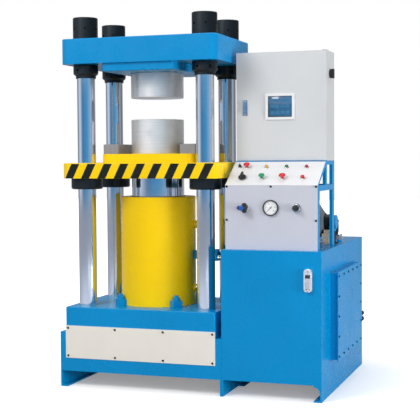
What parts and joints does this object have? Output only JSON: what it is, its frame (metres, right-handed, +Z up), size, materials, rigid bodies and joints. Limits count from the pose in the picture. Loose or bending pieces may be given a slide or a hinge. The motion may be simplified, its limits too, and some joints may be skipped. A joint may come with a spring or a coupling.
{
  "type": "four-column hydraulic press",
  "caption": "Upright column press: a ram in a bottom cylinder lifts the table and lower die to a fixed upper die; a side tank carries the console, power unit and switch cabinet.",
  "frame": {"origin": "on the floor, under the middle of the whole machine's outline", "axes": "+X from the press towards the tank, +Y from the operator to the back, +Z up"},
  "size_m": [1.841, 1.433, 2.454],
  "materials": {
    "blue_paint": "gloss machine enamel",
    "yellow_paint": "gloss machine enamel, the platen's front edge striped black",
    "hard_chrome": "ground and hard-chromed",
    "black_oxide": "blackened steel",
    "die_steel": "turned and ground tool steel",
    "cream_sheet": "cream powder coat",
    "cabinet_grey": "fine-textured light grey powder coat",
    "panel_grey": "brushed pale grey sheet",
    "panel_white": "smooth white coat",
    "bright_plating": "bright plated",
    "zinc_plate": "zinc-plated sheet",
    "motor_grey": "grey motor enamel",
    "machined_steel": "machined steel",
    "black_iron": "black enamel",
    "beige_paint": "beige primer",
    "black_plastic": "moulded",
    "grey_plastic": "moulded device cases",
    "wiper_rubber": "nitrile rubber",
    "red_plastic": "moulded",
    "green_plastic": "moulded",
    "amber_lens": "clear tinted lens",
    "green_lens": "clear tinted lens",
    "red_lens": "clear tinted lens",
    "needle_enamel": "enamel"
  },
  "bodies": {
    "frame": {"base_frame": "blue_paint", "bolster": "blue_paint", "crosshead": "blue_paint", "columns": "hard_chrome", "column_nuts": "black_oxide", "crosshead_nuts": "black_oxide", "upper_die": "die_steel", "cylinder_barrel": "yellow_paint", "cylinder_gland": "yellow_paint", "wiper_ring": "wiper_rubber", "cylinder_clamps": "blue_paint", "base_front_cover": "cream_sheet", "cover_screws": "black_oxide", "oil_tank": "blue_paint", "tank_side_cover": "blue_paint", "level_gauge": "bright_plating", "tank_rear_ports": "black_iron", "motor_mount": "beige_paint", "motor_housing": "motor_grey", "bell_housing": "black_iron", "pump": "blue_paint", "suction_line": "black_iron", "valve_block": "blue_paint", "oil_pipes": "black_iron", "console_side_frames": "blue_paint", "console_cross_bars": "blue_paint", "gauge_panel": "panel_grey", "sloped_panel": "panel_white", "button_collars": "bright_plating", "lamp_amber": "amber_lens", "lamp_green": "green_lens", "lamp_red": "red_lens", "pressure_gauge": "black_plastic", "panel_valves": "bright_plating", "cabinet_shell": "cabinet_grey", "mounting_plate": "zinc_plate", "switchgear": "grey_plastic"},
    "ram_table": {"ram": "hard_chrome", "platen": "yellow_paint", "guide_bushes": "black_oxide", "riser_plate": "yellow_paint", "die_side_bars": "die_steel", "lower_die": "die_steel"},
    "door": {"cabinet_door": "cabinet_grey", "touch_panel": "panel_white", "lock_plate": "bright_plating"},
    "door_lock": {"lock_handle": "bright_plating"},
    "emergency_stop": {"emergency_stop": "red_plastic"},
    "start_button": {"start_button": "green_plastic"},
    "stop_button": {"stop_button": "red_plastic"},
    "reset_button": {"reset_button": "red_plastic"},
    "selector": {"selector_knob": "black_plastic"},
    "key_switch": {"key_switch": "black_plastic"},
    "left_valve": {"left_valve_knob": "black_plastic"},
    "right_valve": {"right_valve_knob": "black_plastic"},
    "needle": {"gauge_needle": "needle_enamel"},
    "main_switch": {"disconnect_switch": "black_plastic"},
    "filler_cap": {"filler_cap": "bright_plating"},
    "motor_rotor": {"motor_rotor": "machined_steel", "cooling_fan": "black_plastic"}
  },
  "joints": [
    {"name": "ram_slide", "type": "slide", "parent": "frame", "child": "ram_table", "axis": [0, 0, 1], "range_m": [-0.12, 0.14]},
    {"name": "door_hinge", "type": "hinge", "parent": "frame", "child": "door", "pos_m": [0.8175, -0.3725, 1.498], "axis": [0, 0, 1], "range_deg": [0, 115]},
    {"name": "lock_turn", "type": "hinge", "parent": "door", "child": "door_lock", "pos_m": [0.2815, -0.3835, 1.819], "axis": [0, 1, 0], "range_deg": [0, 90]},
    {"name": "emergency_stop_press", "type": "slide", "parent": "frame", "child": "emergency_stop", "axis": [0, 0.5359, -0.8443], "range_m": [0, 0.004]},
    {"name": "start_press", "type": "slide", "parent": "frame", "child": "start_button", "axis": [0, 0.5359, -0.8443], "range_m": [0, 0.004], "stiffness_N_per_m": 900, "springref_m": -0.003},
    {"name": "stop_press", "type": "slide", "parent": "frame", "child": "stop_button", "axis": [0, 0.5359, -0.8443], "range_m": [0, 0.004], "stiffness_N_per_m": 900, "springref_m": -0.003},
    {"name": "reset_press", "type": "slide", "parent": "frame", "child": "reset_button", "axis": [0, 0.5359, -0.8443], "range_m": [0, 0.004], "stiffness_N_per_m": 900, "springref_m": -0.003},
    {"name": "selector_turn", "type": "hinge", "parent": "frame", "child": "selector", "pos_m": [0.3185, -0.57434, 1.38673], "axis": [0, 0.5359, -0.8443], "range_deg": [-45, 45]},
    {"name": "key_turn", "type": "hinge", "parent": "frame", "child": "key_switch", "pos_m": [0.2715, -0.46711, 1.45479], "axis": [0, 0.5359, -0.8443], "range_deg": [0, 90]},
    {"name": "left_valve_turn", "type": "hinge", "parent": "frame", "child": "left_valve", "pos_m": [0.3505, -0.6385, 1.204], "axis": [0, 1, 0], "range_deg": [0, 990]},
    {"name": "right_valve_turn", "type": "hinge", "parent": "frame", "child": "right_valve", "pos_m": [0.6885, -0.6385, 1.204], "axis": [0, 1, 0], "range_deg": [0, 990]},
    {"name": "needle_swing", "type": "hinge", "parent": "frame", "child": "needle", "pos_m": [0.5225, -0.6385, 1.204], "axis": [0, 1, 0], "range_deg": [0, 270], "stiffness_Nm_per_rad": 0.01},
    {"name": "main_switch_turn", "type": "hinge", "parent": "frame", "child": "main_switch", "pos_m": [0.8225, -0.2835, 2.058], "axis": [1, 0, 0], "range_deg": [0, 90]},
    {"name": "filler_cap_lift", "type": "slide", "parent": "frame", "child": "filler_cap", "axis": [0, 0, 1], "range_m": [0, 0.15]},
    {"name": "motor_spin", "type": "hinge", "parent": "frame", "child": "motor_rotor", "pos_m": [0.3945, -0.0215, 1.084], "axis": [1, 0, 0], "continuous": true}
  ]
}
